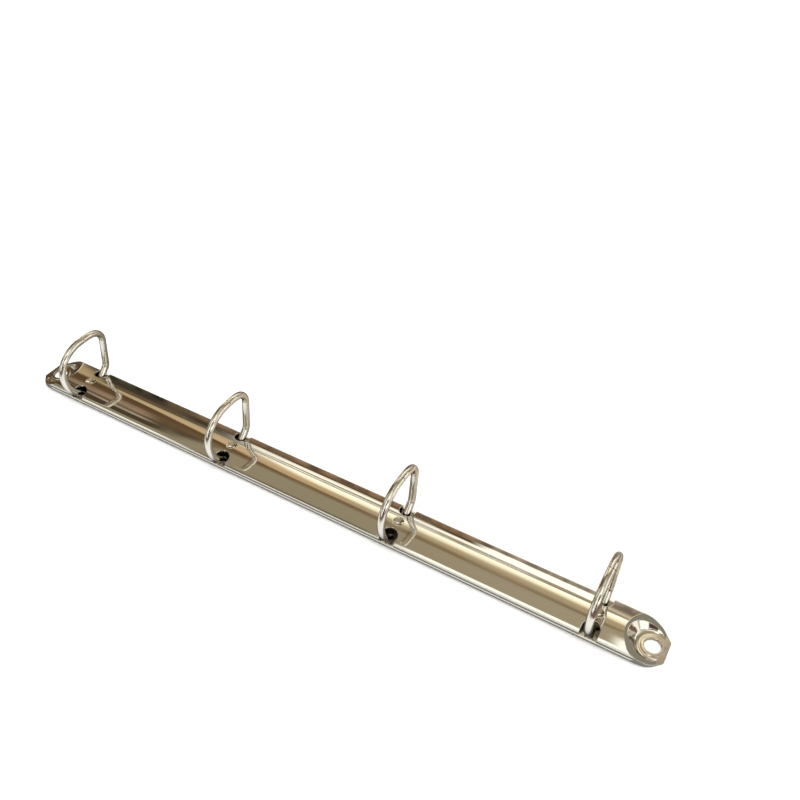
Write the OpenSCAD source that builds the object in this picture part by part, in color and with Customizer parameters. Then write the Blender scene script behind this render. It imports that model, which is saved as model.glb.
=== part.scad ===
// Four-ring binder mechanism: a pressed steel cover, two hinged blades and eight ring halves.
// X runs along the cover, -Y is the side of the round ring halves, and Z is up.
// The origin is midway between the two rivet holes, on the plane that the cover lies on.
// The rings are drawn closed.

/* [Cover] */
// Distance between neighbouring rings, which sets the length of the cover
ring_pitch = 80; // [40:1:120]
// Width across the rolled beads
cover_w = 19.2; // [18.8:0.1:22]
// Height of the crown above the base
cover_h = 5.4; // [5.2:0.1:7]
// Thickness of the cover sheet
sheet_t = 0.7; // [0.5:0.05:0.8]
// Radius of the shallow arch across the top
crown_r = 29.2; // [26:0.1:60]
// Radius of the shoulder between the arch and the flank
shoulder_r = 1.7; // [1.4:0.1:2.1]
// How far the rolled bead stands out from the flank
bead_out = 0.2; // [0.1:0.05:0.3]
// Height of the unbroken rim below the ring notches
rim_h = 2; // [1.6:0.05:2.1]
// How far the rolled lip runs in past the hinge line
lip_in = 0.1; // [0.05:0.01:0.12]

/* [Pressed dimples] */
// Diameter of the dimple pressed in the crown at each ring
dimple_d = 4.3; // [3:0.1:5]
// Depth of the dimple
dimple_deep = 0.7; // [0.4:0.05:0.75]

/* [Ends] */
// Distance from the tip of the cover to the middle of the rivet hole
hole_in = 5.2; // [5:0.1:6]
// Distance from the rivet hole to the nearest ring
ring_in = 20.3; // [19.5:0.1:30]
// Diameter of a rivet hole
hole_d = 6; // [4:0.1:6.4]
// Width of the raised land around the hole
land_w = 1.2; // [0.8:0.1:1.6]
// Height of the raised land
land_h = 0.25; // [0.1:0.05:0.4]
// Radius of the flat seat at the foot of the dish
seat_r = 5; // [4.8:0.1:5.2]
// Radius of the fillet between the seat and the dish wall
dish_foot_r = 2; // [1:0.1:2.4]
// Outward run of the dish wall for each millimetre of height
dish_flare = 0.75; // [0.6:0.05:0.8]
// Radius of the rounded edge at the top of the dish
dish_edge_r = 1; // [0.9:0.1:1.4]
// Half width of the squared tip
tip_w = 4.3; // [3.8:0.1:5]
// Length of the slanted corner beside the tip
tip_slant = 4; // [3:0.1:5]
// Length of the tapered flank behind the slanted corner
tip_taper = 5; // [4:0.1:6]
// How far the tapered flank leans in
tip_lean = 1.2; // [0.8:0.1:1.6]
// Radius of the corners of the squared tip
tip_corner_r = 1; // [0.8:0.1:1.5]
// Share of the tapered flank that the bend at each of its ends takes
taper_round = 0.42; // [0.2:0.02:0.46]
// Fall of the nose for each millimetre towards the tip
nose_slope = 0.36; // [0.35:0.01:0.45]
// Distance from the tip at which the nose comes down to the seat
nose_end = 2.4; // [1:0.1:2.5]

/* [Blades] */
// Thickness of a blade
blade_t = 1; // [0.8:0.05:1.1]
// Distance from the rivet hole to the end of a blade
blade_in = 12.3; // [12:0.1:16]
// Radial play of the blade's edge in the rolled lip
hinge_play = 0.05; // [0.03:0.01:0.08]
// Play between the blades when they lie level
blade_play = 0.1; // [0.06:0.02:0.2]
// Angle that each blade dips towards the middle when closed
closed_dip = 4; // [3:0.5:4.5]

/* [Rings] */
// Diameter of the ring wire
wire_d = 3; // [2.4:0.1:3.2]
// Height of the wire's centre line at the top of the ring
ring_top = 27.2; // [26.8:0.1:40]
// Distance from the middle of the cover to the foot of a ring half
foot_y = 6; // [5.8:0.1:6.3]
// Bend radius just above the foot
foot_bend_r = 1.7; // [1.6:0.1:2.2]
// Place of the seam across the ring
seam_y = 2.1; // [0.6:0.1:3]
// Gap between the two tips of a closed ring
seam_gap = 0.06; // [0.04:0.01:0.1]
// Chamfer around each tip
tip_chamfer = 0.2; // [0.1:0.05:0.3]
// Length of the locating nub on a tip
nub_h = 0.8; // [0.6:0.1:1]
// Diameter of the locating nub at its root
nub_d = 1.9; // [1.6:0.1:2]
// Play between the nub and its socket
nub_play = 0.12; // [0.1:0.01:0.16]

/* [Ring feet] */
// Play of the notch on each side of the wire
notch_play = 1.7; // [1:0.1:2]
// Play between the notch's end and the foot
notch_end_play = 0.85; // [0.2:0.05:1]
// Diameter of the staked pin below the foot
stake_d = 2; // [1.4:0.1:2.2]
// Diameter of the peened head under the blade
head_d = 2.8; // [2.4:0.1:3.2]
// Height of the peened head
head_h = 0.3; // [0.2:0.05:0.35]

/* [Round ring half] */
// Straight rise of the foot above the blade
near_rise = 0.05; // [0.05:0.05:0.3]
// Length of the slanted stretch through the notch
near_slant = 2.4; // [2.2:0.1:2.8]
// Radius of the lower part of the round side
near_lower_r = 15; // [13:0.5:15.5]
// Radius of the upper part of the round side
near_side_r = 10.5; // [8:0.5:11]
// Angle turned by the upper part of the round side
near_side_turn = 50; // [48:1:60]
// Radius where the round side runs into the top
near_top_r = 14.5; // [12:0.5:15]

/* [Post ring half] */
// Straight rise of the foot above the blade
far_rise = 1; // [0.6:0.1:1.4]
// Length of the slanted stretch through the notch
far_slant = 4; // [3:0.1:4.5]
// Bend radius between the slanted stretch and the post
elbow_r = 4; // [3:0.5:5]
// Outward lean of the post
post_lean = 8; // [4:1:9]
// Radius of the bend at the top of the post
corner_r = 5.5; // [4:0.5:6]
// Angle turned by that bend
corner_turn = 80; // [70:1:85]
// Radius where the bend runs into the top
far_top_r = 14; // [10:0.5:15]

/* [Hidden] */
$fn = 96;
FOOT_SLANT = 45;
HEAD_UP = 90;
RINGS = 4;
FAR_OUT = 60;
// Every other step of a wire is thicker by this radius, and the steps between lap into it
JOIN_STEP = 0.02;
JOIN_LAP = 0.05;

// Cover
half_w = cover_w / 2;
ring_xs = [for (i = [0 : RINGS - 1]) (i - (RINGS - 1) / 2) * ring_pitch];
hole_x = ring_xs[RINGS - 1] + ring_in;
half_l = hole_x + hole_in;
cover_l = 2 * half_l;
blade_l = 2 * (hole_x - blade_in);
flank_y = half_w - bead_out;
shoulder_y = flank_y - shoulder_r;
crown_z = cover_h - crown_r;
shoulder_drop = sqrt(pow(crown_r - shoulder_r, 2) - pow(shoulder_y, 2));
shoulder_z = crown_z + shoulder_drop;
shoulder_dir = [shoulder_y, shoulder_drop] / (crown_r - shoulder_r);
dimple_r = (pow(dimple_d / 2, 2) + pow(dimple_deep, 2)) / (2 * dimple_deep);
notch_w = wire_d + 2 * notch_play;
notch_y = foot_y - wire_d / 2 - notch_end_play;

// Hinge line of the far blade is at [pivot_y, pivot_z], and the near one mirrors it
edge_r = blade_t / 2;
curl_r = edge_r + hinge_play;
pivot_y = half_w - sheet_t - curl_r;
pivot_z = sheet_t + curl_r;
blade_w = pivot_y - blade_play / 2;
stake_s = (pivot_y - foot_y) / cos(closed_dip) - edge_r * tan(closed_dip);
foot_z = pivot_z + edge_r / cos(closed_dip) - (pivot_y - foot_y) * tan(closed_dip);
foot_sink = blade_t / 2;

// Dish: its wall is a cone between two rounded bends
flare_len = sqrt(1 + pow(dish_flare, 2));
wall_dir = [dish_flare, 1] / flare_len;
wall_out = [wall_dir[1], -wall_dir[0]];
dish_foot = [seat_r, sheet_t + dish_foot_r];
wall_low = dish_foot + dish_foot_r * wall_out;
dish_edge_z = cover_h - dish_edge_r;
wall_high_z = dish_edge_z - dish_edge_r * wall_out[1];
wall_high = [wall_low[0] + dish_flare * (wall_high_z - wall_low[1]), wall_high_z];
dish_edge = [wall_high[0] + dish_edge_r * wall_out[0], dish_edge_z];

// Outline of one end of the cover, seen from above
tip_points = [[half_l, tip_w], [half_l - tip_slant, half_w - tip_lean],
    [half_l - tip_slant - tip_taper, half_w]];
tip_normals = [[1, 0], edge_normal(tip_points[0], tip_points[1]), edge_normal(tip_points[1], tip_points[2]),
    [0, 1]];
slant_len = norm(tip_points[1] - tip_points[0]);
taper_len = norm(tip_points[2] - tip_points[1]);
tip_radii = [tip_corner_r, bend_r(tip_normals[1], tip_normals[2], taper_round * min(slant_len, taper_len)),
    bend_r(tip_normals[2], tip_normals[3], taper_round * taper_len)];

// Wire paths are lists of [length] for a straight and [radius, turn] for a bend, left turns positive.
// They start at the foot, heading up, with their first axis pointing away from the middle.
function run(r, a, t) = sign(t) * r * (sin(a + t) - sin(a));
function rise(r, a, t) = sign(t) * r * (cos(a) - cos(a + t));

foot_run = run(foot_bend_r, HEAD_UP, -FOOT_SLANT);
foot_rise = rise(foot_bend_r, HEAD_UP, -FOOT_SLANT);
slant_a = HEAD_UP - FOOT_SLANT;

near_top_turn = 180 - HEAD_UP - near_side_turn;
near_low_rise = near_rise + foot_rise + near_slant * sin(slant_a) + rise(near_lower_r, slant_a, FOOT_SLANT);
near_high_rise = rise(near_side_r, HEAD_UP, near_side_turn)
    + rise(near_top_r, HEAD_UP + near_side_turn, near_top_turn);
near_straight = ring_top - foot_z - near_low_rise - near_high_rise;
near_reach = foot_y + foot_run + near_slant * cos(slant_a) + run(near_lower_r, slant_a, FOOT_SLANT)
    + run(near_side_r, HEAD_UP, near_side_turn) + run(near_top_r, HEAD_UP + near_side_turn, near_top_turn);
near_run = near_reach + seam_y - seam_gap / 2;
near_path = [[foot_sink + near_rise], [foot_bend_r, -FOOT_SLANT], [near_slant], [near_lower_r, FOOT_SLANT],
    [near_straight], [near_side_r, near_side_turn], [near_top_r, near_top_turn], [near_run]];

post_a = HEAD_UP - post_lean;
elbow_turn = post_a - slant_a;
far_top_turn = 180 - post_a - corner_turn;
far_low_rise = far_rise + foot_rise + far_slant * sin(slant_a) + rise(elbow_r, slant_a, elbow_turn);
far_high_rise = rise(corner_r, post_a, corner_turn) + rise(far_top_r, post_a + corner_turn, far_top_turn);
far_post = (ring_top - foot_z - far_low_rise - far_high_rise) / sin(post_a);
far_reach = foot_y + foot_run + far_slant * cos(slant_a) + run(elbow_r, slant_a, elbow_turn)
    + far_post * cos(post_a) + run(corner_r, post_a, corner_turn)
    + run(far_top_r, post_a + corner_turn, far_top_turn);
far_run = far_reach - seam_y - seam_gap / 2;
far_path = [[foot_sink + far_rise], [foot_bend_r, -FOOT_SLANT], [far_slant], [elbow_r, elbow_turn],
    [far_post], [corner_r, corner_turn], [far_top_r, far_top_turn], [far_run]];

// Turns a section drawn in the Y-Z plane into a bar along X
module along_x(length) {
    rotate([90, 0, 90]) linear_extrude(length, center = true) children();
}

module both_ends() {
    children();
    mirror([1, 0, 0]) children();
}

module both_sides() {
    children();
    mirror([0, 1, 0]) children();
}

// Rounds the corner between the arch and the flank; skin is how far inside the outer face it lies
module shoulder_cut(skin) {
    difference() {
        polygon([[shoulder_y, shoulder_z], [shoulder_y, shoulder_z] + 3 * shoulder_r * shoulder_dir,
            [flank_y + shoulder_r, shoulder_z + 3 * shoulder_r], [flank_y + shoulder_r, shoulder_z]]);
        translate([shoulder_y, shoulder_z]) circle(shoulder_r - skin);
    }
}

// Section under the arch and between the flanks, down to the hinge lines
module arch_section(skin) {
    difference() {
        intersection() {
            translate([0, crown_z]) circle(crown_r - skin, $fn = 360);
            translate([skin - flank_y, pivot_z]) square([2 * (flank_y - skin), cover_h]);
        }
        shoulder_cut(skin);
        mirror([1, 0]) shoulder_cut(skin);
    }
}

// Outer section of the cover: the arch, and the rolled lips below the hinge lines
module outer_section() {
    arch_section(0);
    translate([-pivot_y, 0]) square([2 * pivot_y, pivot_z]);
    for (side = [-1, 1]) translate([side * pivot_y, pivot_z]) circle(curl_r + sheet_t);
}

// Hollow inside the cover, open at the bottom between the lips
module inner_section() {
    arch_section(sheet_t);
    for (side = [-1, 1]) translate([side * pivot_y, pivot_z]) circle(curl_r);
    translate([lip_in - pivot_y, -sheet_t]) square([2 * (pivot_y - lip_in), pivot_z + sheet_t]);
}

function edge_normal(a, b) = [b[1] - a[1], a[0] - b[0]] / norm(b - a);
function inset(p, m, n, skin) = p - skin * (m + n) / (1 + m * n);

// Radius of the bend between two edges that starts at reach from their corner
function bend_r(m, n, reach) = reach * sqrt((1 + m * n) / (1 - m * n));

// What the bend at one corner of the outline takes away, drawn in by skin
module corner_cut(i, skin) {
    m = tip_normals[i];
    n = tip_normals[i + 1];
    r = tip_radii[i];
    mid = inset(tip_points[i], m, n, r);
    difference() {
        polygon([mid, mid + (r + sheet_t) * m, inset(tip_points[i], m, n, -sheet_t),
            mid + (r + sheet_t) * n]);
        translate(mid) circle(r - skin);
    }
}

// Outline of the cover from above, drawn in by skin
module plan_outline(skin) {
    a = inset(tip_points[0], tip_normals[0], tip_normals[1], skin);
    b = inset(tip_points[1], tip_normals[1], tip_normals[2], skin);
    c = inset(tip_points[2], tip_normals[2], tip_normals[3], skin);
    difference() {
        polygon([a, b, c, [-c[0], c[1]], [-b[0], b[1]], [-a[0], a[1]],
            [-a[0], -a[1]], [-b[0], -b[1]], [-c[0], -c[1]], [c[0], -c[1]], [b[0], -b[1]], [a[0], -a[1]]]);
        for (x = [0, 1]) mirror([x, 0]) for (y = [0, 1]) mirror([0, y]) {
            corner_cut(0, skin);
            corner_cut(1, skin);
            corner_cut(2, skin);
        }
    }
}

// Block under the sloping noses at both ends, lowered by skin
module under_noses(skin) {
    low_x = half_l - nose_end;
    low_z = sheet_t - skin * sqrt(1 + pow(nose_slope, 2));
    high_x = low_x - FAR_OUT / 2;
    high_z = low_z + nose_slope * FAR_OUT / 2;
    rotate([90, 0, 0]) linear_extrude(FAR_OUT, center = true)
        polygon([[-half_l, -sheet_t], [half_l, -sheet_t], [half_l, low_z], [low_x, low_z], [high_x, high_z],
            [-high_x, high_z], [-low_x, low_z], [-half_l, low_z]]);
}

// Space above the pressed dish at the end of the cover, grown by skin
module dish(skin) {
    translate([hole_x, 0, 0]) rotate_extrude() difference() {
        union() {
            translate([0, sheet_t - skin]) square([seat_r, FAR_OUT]);
            intersection() {
                translate(dish_foot) circle(dish_foot_r + skin);
                translate([seat_r, 0]) square([FAR_OUT, dish_foot[1]]);
            }
            polygon([dish_foot, wall_low + skin * wall_out, wall_high + skin * wall_out, dish_edge,
                [dish_edge[0], FAR_OUT], [seat_r, FAR_OUT]]);
        }
        translate(dish_edge) circle(dish_edge_r - skin);
    }
}

module dimples(skin) {
    for (x = ring_xs) translate([x, 0, cover_h - dimple_deep + dimple_r]) sphere(dimple_r + skin);
}

// Notch that lets one ring half swing through the flank
module notch() {
    reach = notch_y + notch_w / 2;
    for (x = ring_xs) translate([x, 0, rim_h]) {
        translate([-notch_w / 2, reach, 0]) cube([notch_w, cover_w, cover_h]);
        translate([0, reach, 0]) cylinder(d = notch_w, h = cover_h);
    }
}

// Pressed steel cover with rolled lips, ring notches and a dished rivet seat at each end
module cover() {
    color("silver") difference() {
        union() {
            difference() {
                intersection() {
                    along_x(cover_l) outer_section();
                    linear_extrude(cover_h) plan_outline(0);
                    under_noses(0);
                }
                both_ends() dish(0);
                dimples(0);
                difference() {
                    intersection() {
                        along_x(cover_l) inner_section();
                        translate([0, 0, -sheet_t]) linear_extrude(cover_h) plan_outline(sheet_t);
                        under_noses(sheet_t);
                    }
                    both_ends() dish(sheet_t);
                    dimples(sheet_t);
                }
            }
            both_ends() translate([hole_x, 0, 0]) cylinder(d = hole_d + 2 * land_w, h = sheet_t + land_h);
        }
        both_ends() translate([hole_x, 0, -sheet_t]) cylinder(d = hole_d, h = 3 * sheet_t + land_h);
        both_sides() notch();
    }
}

// Places children in the far blade's own frame: hinge line at the origin, -Y towards the middle
module on_blade() {
    translate([0, pivot_y, pivot_z]) rotate([closed_dip, 0, 0]) children();
}

// Flat steel blade with rounded long edges and a hole for each staked foot
module blade() {
    color("gainsboro") on_blade() difference() {
        along_x(blade_l) {
            translate([edge_r - blade_w, -edge_r]) square([blade_w - edge_r, blade_t]);
            circle(edge_r);
            translate([edge_r - blade_w, 0]) circle(edge_r);
        }
        for (x = ring_xs) translate([x, -stake_s, -blade_t]) cylinder(d = stake_d, h = 2 * blade_t);
    }
}

module near_blade() {
    mirror([0, 1, 0]) blade();
}

module far_blade() {
    blade();
}

// One step of a wire path; a thin step laps into the thick ones before and after it
module wire_step(step, thin, last) {
    d = thin ? wire_d : wire_d + 2 * JOIN_STEP;
    lap = thin ? JOIN_LAP : 0;
    end_lap = last ? 0 : lap;
    if (len(step) == 1)
        translate([-lap, 0, 0]) rotate([0, 90, 0]) cylinder(d = d, h = lap + step[0] + end_lap);
    else {
        r = step[0];
        lap_a = lap / r * 180 / PI;
        translate([0, r, 0]) rotate([0, 0, -90 - lap_a]) rotate_extrude(angle = step[1] + 2 * lap_a)
            translate([r, 0]) circle(d = d);
    }
}

// Moves children to the end of one step of a wire path
module after(step) {
    if (len(step) == 1) translate([step[0], 0, 0]) children();
    else translate([0, sign(step[1]) * step[0], 0]) rotate([0, 0, step[1]])
        translate([0, -sign(step[1]) * step[0], 0]) children();
}

// Wire that follows a path, heading along its own X
module wire(path, i = 0) {
    if (i < len(path)) {
        step = path[i];
        thin = i % 2 == 1;
        last = i == len(path) - 1;
        if (len(step) == 2 && step[1] < 0) mirror([0, 1, 0]) wire_step([step[0], -step[1]], thin, last);
        else wire_step(step, thin, last);
        after(step) wire(path, i + 1);
    }
}

// Moves children to the end of a whole path
module at_end(path, i = 0) {
    if (i < len(path)) after(path[i]) at_end(path, i + 1) children();
    else children();
}

// Puts a path on the far side's foot, in the plane of its ring
module from_foot() {
    translate([0, foot_y, foot_z - foot_sink]) rotate([90, 0, 90]) rotate([0, 0, HEAD_UP]) children();
}

// Cutter that chamfers the end of a wire
module tip_cutter() {
    c = tip_chamfer;
    translate([-2 * c, 0, 0]) rotate([0, 90, 0]) difference() {
        cylinder(d = 2 * wire_d, h = 4 * c);
        cylinder(d1 = wire_d + 2 * c, d2 = wire_d - 6 * c, h = 4 * c);
    }
}

// Tapered nub that stands out of a tip, with its root sunk in the wire
module nub() {
    translate([-nub_h, 0, 0]) rotate([0, 90, 0])
        cylinder(d1 = nub_d + nub_h, d2 = nub_d - nub_h, h = 2 * nub_h);
}

// Socket in the facing tip, wider and deeper than the nub by its play
module socket() {
    d = nub_d + 2 * nub_play + 2 * seam_gap;
    rotate([0, -90, 0]) translate([0, 0, -seam_gap])
        cylinder(d1 = d, d2 = d - nub_h - nub_play, h = nub_h + nub_play);
}

// Pin that holds the foot in its blade, peened over underneath
module stake() {
    on_blade() translate([0, -stake_s, -edge_r]) {
        translate([0, 0, -head_h / 2]) cylinder(d = stake_d, h = head_h / 2 + blade_t + foot_sink);
        translate([0, 0, -head_h]) cylinder(d1 = head_d - head_h, d2 = head_d, h = head_h);
    }
}

// Block whose top is the blade's top face, to trim a foot
module below_blade_top() {
    on_blade() translate([-wire_d, -blade_w, edge_r - wire_d]) cube([2 * wire_d, blade_w, wire_d]);
}

// Half of a ring on the far side: the wire, trimmed and staked at the foot
module ring_half(path) {
    difference() {
        from_foot() wire(path);
        below_blade_top();
        from_foot() at_end(path) tip_cutter();
    }
    stake();
}

// Round half of a ring, on the near side, with the nub
module near_ring(i) {
    color("whitesmoke") translate([ring_xs[i - 1], 0, 0]) mirror([0, 1, 0]) {
        ring_half(near_path);
        from_foot() at_end(near_path) nub();
    }
}

// Post half of a ring, on the far side, with the socket
module far_ring(i) {
    color("whitesmoke") translate([ring_xs[i - 1], 0, 0]) difference() {
        ring_half(far_path);
        from_foot() at_end(far_path) socket();
    }
}

cover();
near_blade();
far_blade();
near_ring(1);  // near_ring_1
near_ring(2);  // near_ring_2
near_ring(3);  // near_ring_3
near_ring(4);  // near_ring_4
far_ring(1);  // far_ring_1
far_ring(2);  // far_ring_2
far_ring(3);  // far_ring_3
far_ring(4);  // far_ring_4
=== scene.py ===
"""Dresses the ring binder mechanism and sets it on a pale studio floor.

The cover and the blades keep their solid shapes and get plated finishes. The ring halves are swept again as
smooth drawn wire, with their staked feet, chamfered tips, nubs and sockets.
"""

import logging
import math
from dataclasses import dataclass
from enum import Enum

import bpy
from mathutils import Matrix, Vector

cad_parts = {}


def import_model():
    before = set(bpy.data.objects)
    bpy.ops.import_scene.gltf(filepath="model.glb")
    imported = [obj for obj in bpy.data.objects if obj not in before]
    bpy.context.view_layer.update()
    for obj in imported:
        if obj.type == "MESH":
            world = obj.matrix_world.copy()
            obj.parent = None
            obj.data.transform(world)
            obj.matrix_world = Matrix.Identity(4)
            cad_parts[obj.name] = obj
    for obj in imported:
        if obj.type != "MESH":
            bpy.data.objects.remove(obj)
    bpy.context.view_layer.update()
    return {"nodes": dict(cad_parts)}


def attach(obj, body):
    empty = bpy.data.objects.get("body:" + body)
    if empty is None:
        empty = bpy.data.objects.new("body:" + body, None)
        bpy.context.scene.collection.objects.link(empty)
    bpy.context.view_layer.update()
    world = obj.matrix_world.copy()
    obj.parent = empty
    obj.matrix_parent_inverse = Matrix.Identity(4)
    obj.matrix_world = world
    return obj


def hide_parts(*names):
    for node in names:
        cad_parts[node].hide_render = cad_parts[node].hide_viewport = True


LOG = logging.getLogger("ring_mechanism")
MM = 0.001

Colour = tuple[float, float, float]
Point2 = tuple[float, float]


class Side(Enum):
    """The side of the cover that a piece belongs to, as the sign of its Y."""

    NEAR = -1.0
    FAR = 1.0


class Socket(Enum):
    """Kinds of socket on a node group."""

    NUMBER = "NodeSocketFloat"
    COLOUR = "NodeSocketColor"
    VECTOR = "NodeSocketVector"


class Graph:
    """A short way to add nodes to a tree and join them."""

    def __init__(self, tree: bpy.types.NodeTree) -> None:
        """Starts from an empty tree.

        Args:
            tree: The node tree to fill.
        """
        self.tree = tree
        tree.nodes.clear()

    def add(self, kind: str, links: dict | None = None, **settings: object) -> bpy.types.Node:
        """Adds one node.

        Args:
            kind: Blender's name for the node type.
            links: Input name or number, to a socket to link or a value to set.
            settings: Properties of the node itself.

        Returns:
            The new node.
        """
        node = self.tree.nodes.new(kind)
        for name, value in settings.items():
            setattr(node, name, value)
        for key, value in (links or {}).items():
            if isinstance(value, bpy.types.NodeSocket):
                self.tree.links.new(value, node.inputs[key])
            else:
                node.inputs[key].default_value = value
        return node

    def math(self, operation: str, *values: object) -> bpy.types.NodeSocket:
        """Adds a math node on the values given and returns its output."""
        return self.add("ShaderNodeMath", dict(enumerate(values)), operation=operation).outputs[0]

    def remap(
        self, value: object, low: float, high: float, to_low: float, to_high: float
    ) -> bpy.types.NodeSocket:
        """Adds a smooth map from one range of numbers to another and returns its output.

        Args:
            value: Socket with the number to map.
            low: Start of the range that is read.
            high: End of the range that is read.
            to_low: What the start becomes.
            to_high: What the end becomes.

        Returns:
            The mapped number's socket.
        """
        node = self.add("ShaderNodeMapRange", {0: value, 1: low, 2: high, 3: to_low, 4: to_high})
        node.interpolation_type = "SMOOTHSTEP"
        return node.outputs[0]

    def mix(self, factor: object, first: object, second: object) -> bpy.types.NodeSocket:
        """Adds a colour mix.

        Args:
            factor: Share of the second colour, as a socket or a number.
            first: The first colour, as a socket or a tone.
            second: The second colour, as a socket or a tone.

        Returns:
            The mixed colour's socket.
        """
        node = self.add("ShaderNodeMix", data_type="RGBA")
        for key, value in ((0, factor), (6, first), (7, second)):
            if isinstance(value, bpy.types.NodeSocket):
                self.tree.links.new(value, node.inputs[key])
            else:
                node.inputs[key].default_value = value if key == 0 else (*value, 1.0)
        return node.outputs[2]

    def ramp(self, factor: bpy.types.NodeSocket, stops: list[tuple[float, Colour]]) -> bpy.types.NodeSocket:
        """Adds a colour ramp and returns its colour output.

        Args:
            factor: Socket that drives the ramp.
            stops: Places along the ramp with their colours, in order.

        Returns:
            The colour socket.
        """
        node = self.add("ShaderNodeValToRGB", {0: factor})
        elements = node.color_ramp.elements
        while len(elements) < len(stops):
            elements.new(0.5)
        for element, (place, _) in zip(elements, stops):
            element.position = place
        for element, (_, colour) in zip(elements, stops):
            element.color = (*colour, 1.0)
        return node.outputs[0]


def new_group(
    name: str, inputs: dict[str, Socket], outputs: dict[str, Socket]
) -> tuple[Graph, dict, bpy.types.Node]:
    """Makes an empty shader node group.

    Args:
        name: Name of the group.
        inputs: Input names and their kinds.
        outputs: Output names and their kinds.

    Returns:
        The group's graph, its input sockets by name, and its output node.
    """
    tree = bpy.data.node_groups.new(name, "ShaderNodeTree")
    for label, kind in inputs.items():
        tree.interface.new_socket(label, in_out="INPUT", socket_type=kind.value)
    for label, kind in outputs.items():
        tree.interface.new_socket(label, in_out="OUTPUT", socket_type=kind.value)
    graph = Graph(tree)
    entry = graph.add("NodeGroupInput")
    leave = graph.add("NodeGroupOutput")
    return graph, {label: entry.outputs[label] for label in inputs}, leave


@dataclass(frozen=True)
class HandlingMarks:
    """How close and how strong the marks of handling are.

    Attributes:
        cloud_scale: Closeness of the clouding.
        cloud_edge: Noise values between which the clouding sets in.
        wipe_turn: Turn of the wipe marks in radians.
        wipe_stretch: How the wipe marks are stretched along each axis.
        wipe_edge: Noise values between which a wipe mark sets in.
        wipe_most: Strength of a full wipe mark.
        speck_scale: Closeness of the specks.
        speck_edge: Distances from a speck's middle between which it sets in.
        rare_scale: Size of the areas that have specks.
        rare_edge: Noise values between which such an area sets in.
        dulling: Share of the clouding and the wipe marks that shows.
    """

    cloud_scale: float = 38.0
    cloud_edge: Point2 = (0.46, 0.72)
    wipe_turn: float = 0.5
    wipe_stretch: tuple[float, float, float] = (30.0, 420.0, 60.0)
    wipe_edge: Point2 = (0.56, 0.74)
    wipe_most: float = 0.5
    speck_scale: float = 170.0
    speck_edge: Point2 = (0.055, 0.03)
    rare_scale: float = 55.0
    rare_edge: Point2 = (0.6, 0.66)
    dulling: float = 0.7


class Effects:
    """Shader node groups that the plated finishes share."""

    FINE_SHARE = 0.25

    def __init__(self) -> None:
        """Builds each group once."""
        self.drawn_lines = self.build_drawn_lines()
        self.handling = self.build_handling(HandlingMarks())

    @staticmethod
    def build_drawn_lines() -> bpy.types.NodeTree:
        """Makes the faint lines that rolling or drawing leaves along a piece.

        Returns:
            The group. Fine and Broad say how close its lines and waves are, and Height feeds a bump.
        """
        graph, given, leave = new_group(
            "drawn_lines",
            {"Place": Socket.VECTOR, "Fine": Socket.NUMBER, "Broad": Socket.NUMBER},
            {"Height": Socket.NUMBER},
        )
        fine = graph.add(
            "ShaderNodeTexNoise", {"Vector": given["Place"], "Scale": given["Fine"], "Detail": 3.0}
        ).outputs[0]
        broad = graph.add(
            "ShaderNodeTexNoise", {"Vector": given["Place"], "Scale": given["Broad"], "Detail": 1.0}
        ).outputs[0]
        height = graph.math(
            "ADD",
            graph.math("MULTIPLY", fine, Effects.FINE_SHARE),
            graph.math("MULTIPLY", broad, 1.0 - Effects.FINE_SHARE),
        )
        graph.tree.links.new(height, leave.inputs["Height"])
        return graph.tree

    @staticmethod
    def build_handling(look: HandlingMarks) -> bpy.types.NodeTree:
        """Makes the clouding, wipe marks and specks that handling leaves on bright plate.

        Args:
            look: How close and how strong the marks are.

        Returns:
            The group. Colour is the plate with its clouding, and Roughness varies with it.
        """
        graph, given, leave = new_group(
            "handling",
            {
                "Place": Socket.VECTOR,
                "Plate": Socket.COLOUR,
                "Clouded": Socket.COLOUR,
                "Smooth": Socket.NUMBER,
                "Rough": Socket.NUMBER,
            },
            {"Colour": Socket.COLOUR, "Roughness": Socket.NUMBER},
        )
        place = given["Place"]
        cloud = graph.add(
            "ShaderNodeTexNoise",
            {"Vector": place, "Scale": look.cloud_scale, "Detail": 4.0, "Distortion": 0.6},
        ).outputs[0]
        cloud = graph.remap(cloud, *look.cloud_edge, 0.0, 1.0)
        wipe = graph.add(
            "ShaderNodeMapping",
            {"Vector": place, "Rotation": (0.0, 0.0, look.wipe_turn), "Scale": look.wipe_stretch},
        ).outputs[0]
        streak = graph.add("ShaderNodeTexNoise", {"Vector": wipe, "Scale": 1.0, "Detail": 3.0}).outputs[0]
        streak = graph.remap(streak, *look.wipe_edge, 0.0, look.wipe_most)
        cells = graph.add("ShaderNodeTexVoronoi", {"Vector": place, "Scale": look.speck_scale})
        speck = graph.remap(cells.outputs["Distance"], *look.speck_edge, 0.0, 1.0)
        rare = graph.add("ShaderNodeTexNoise", {"Vector": place, "Scale": look.rare_scale, "Detail": 0.0})
        speck = graph.math("MULTIPLY", speck, graph.remap(rare.outputs[0], *look.rare_edge, 0.0, 1.0))
        dulled = graph.math("MULTIPLY", graph.math("ADD", cloud, streak), look.dulling)
        marks = graph.math("MINIMUM", graph.math("MAXIMUM", dulled, speck), 1.0)
        colour = graph.mix(marks, given["Plate"], given["Clouded"])
        rough = graph.add("ShaderNodeMapRange", {0: marks, 3: given["Smooth"], 4: given["Rough"]}).outputs[0]
        graph.tree.links.new(colour, leave.inputs["Colour"])
        graph.tree.links.new(rough, leave.inputs["Roughness"])
        return graph.tree


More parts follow.
